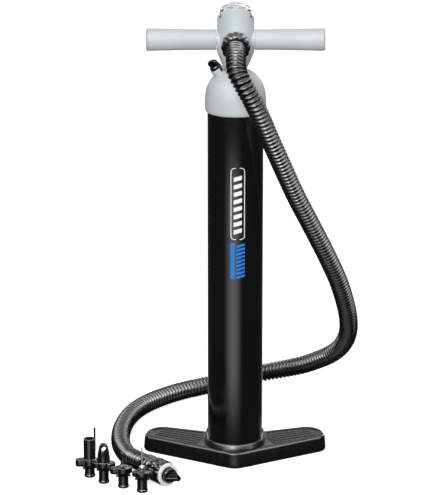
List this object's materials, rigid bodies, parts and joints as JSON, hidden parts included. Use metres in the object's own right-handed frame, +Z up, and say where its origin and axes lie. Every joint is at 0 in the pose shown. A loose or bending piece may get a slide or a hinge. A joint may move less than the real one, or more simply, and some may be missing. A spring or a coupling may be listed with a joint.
{
  "type": "double action hand pump",
  "caption": "Free-standing double-action hand pump: glossy black barrel on a winged foot, grey T-handle with a pressure gauge in its hub, ribbed delivery hose and loose valve adapters.",
  "frame": {"origin": "middle of the footplate's sole, on the barrel's axis", "axes": "+Z up the barrel, -Y to the front where the hose leaves the hub, +X to the pump's right as seen from the front"},
  "size_m": [0.3911, 0.4413, 0.6395],
  "materials": {
    "grey_plastic": "cool light grey, satin moulded",
    "grip_grey": "cool light grey, fine soft texture",
    "barrel_black": "gloss black extrusion",
    "moulded_black": "black, satin moulded",
    "hose_black": "gloss black corrugated hose",
    "seal_rubber": "matt black rubber",
    "pale_seal": "pale grey soft seal",
    "steel": "plain drawn steel",
    "chrome": "bright chrome",
    "dial_white": "white printed dial",
    "clear_lens": "clear moulded lens",
    "needle_red": "red"
  },
  "bodies": {
    "pump_body": {"base_foot": "moulded_black", "base_cover": "moulded_black", "cover_screw_1": "steel", "cover_screw_2": "steel", "cover_screw_3": "steel", "cover_screw_4": "steel", "barrel": "barrel_black", "foot_plug": "moulded_black", "foot_plug_oring": "seal_rubber", "intake_flap": "seal_rubber", "flap_rivet": "moulded_black", "cap": "grey_plastic", "cap_oring": "seal_rubber", "cap_valve_plate": "moulded_black", "upper_intake_flap": "seal_rubber", "guide_bush": "moulded_black", "rod_seal": "seal_rubber", "plug_strap": "seal_rubber", "hose": "hose_black", "end_cuff": "moulded_black", "valve_gasket": "pale_seal"},
    "handle": {"handle_hub": "grey_plastic", "left_grip": "grip_grey", "right_grip": "grip_grey", "left_end_cap": "grip_grey", "right_end_cap": "grip_grey", "cross_bar": "steel", "hub_screw_1": "steel", "hub_screw_2": "steel", "piston_rod": "steel", "piston": "moulded_black", "piston_seal": "seal_rubber", "piston_flap": "seal_rubber", "piston_bumper": "seal_rubber", "piston_nut": "steel", "gauge_case": "moulded_black", "gauge_bezel": "chrome", "gauge_dial": "dial_white", "gauge_lens": "clear_lens", "gauge_stem": "steel", "bourdon_tube": "steel", "outlet_spigot": "moulded_black", "spigot_washer": "seal_rubber", "hose_cuff": "moulded_black"},
    "pressure_needle": {"gauge_needle": "needle_red"},
    "union_nut": {"hose_nut": "moulded_black"},
    "stopper": {"mode_plug": "moulded_black"},
    "quarter_turn_nut": {"lock_nut": "moulded_black"},
    "adapter_in_hose": {"fitted_adapter": "moulded_black"},
    "loose_tube_adapter": {"tube_adapter": "moulded_black"},
    "loose_cone_adapter": {"cone_adapter": "moulded_black"},
    "loose_stem_adapter": {"stem_adapter": "moulded_black"},
    "loose_needle_adapter": {"needle_adapter": "moulded_black", "ball_needle": "steel"}
  },
  "joints": [
    {"name": "handle_stroke", "type": "slide", "parent": "pump_body", "child": "handle", "axis": [0, 0, 1], "range_m": [0, 0.425], "deforming": ["hose"]},
    {"name": "needle_sweep", "type": "hinge", "parent": "handle", "child": "pressure_needle", "pos_m": [0, 0, 0.6252], "axis": [0, 0, -1], "range_deg": [0, 270], "stiffness_Nm_per_rad": 0.0001},
    {"name": "union_nut_turn", "type": "hinge", "parent": "handle", "child": "union_nut", "pos_m": [0, -0.0245, 0.5885], "axis": [0, -0.9781, -0.2079], "range_deg": [0, 360]},
    {"name": "stopper_pull", "type": "slide", "parent": "pump_body", "child": "stopper", "axis": [-0.5349, -0.136, 0.8339], "range_m": [0, 0.016]},
    {"name": "quarter_turn", "type": "hinge", "parent": "pump_body", "child": "quarter_turn_nut", "pos_m": [-0.0924, -0.1133, 0.0175], "axis": [0.6, -0.8, 0], "range_deg": [0, 90]},
    {"name": "adapter_release", "type": "slide", "parent": "pump_body", "child": "adapter_in_hose", "axis": [0.6, -0.8, 0], "range_m": [0, 0.03]},
    {"name": "tube_adapter_lift", "type": "slide", "parent": "pump_body", "child": "loose_tube_adapter", "axis": [0, 0, 1], "range_m": [0, 0.05]},
    {"name": "cone_adapter_lift", "type": "slide", "parent": "pump_body", "child": "loose_cone_adapter", "axis": [0, 0, 1], "range_m": [0, 0.05]},
    {"name": "stem_adapter_lift", "type": "slide", "parent": "pump_body", "child": "loose_stem_adapter", "axis": [0, 0, 1], "range_m": [0, 0.05]},
    {"name": "needle_adapter_lift", "type": "slide", "parent": "pump_body", "child": "loose_needle_adapter", "axis": [0, 0, 1], "range_m": [0, 0.05]}
  ]
}
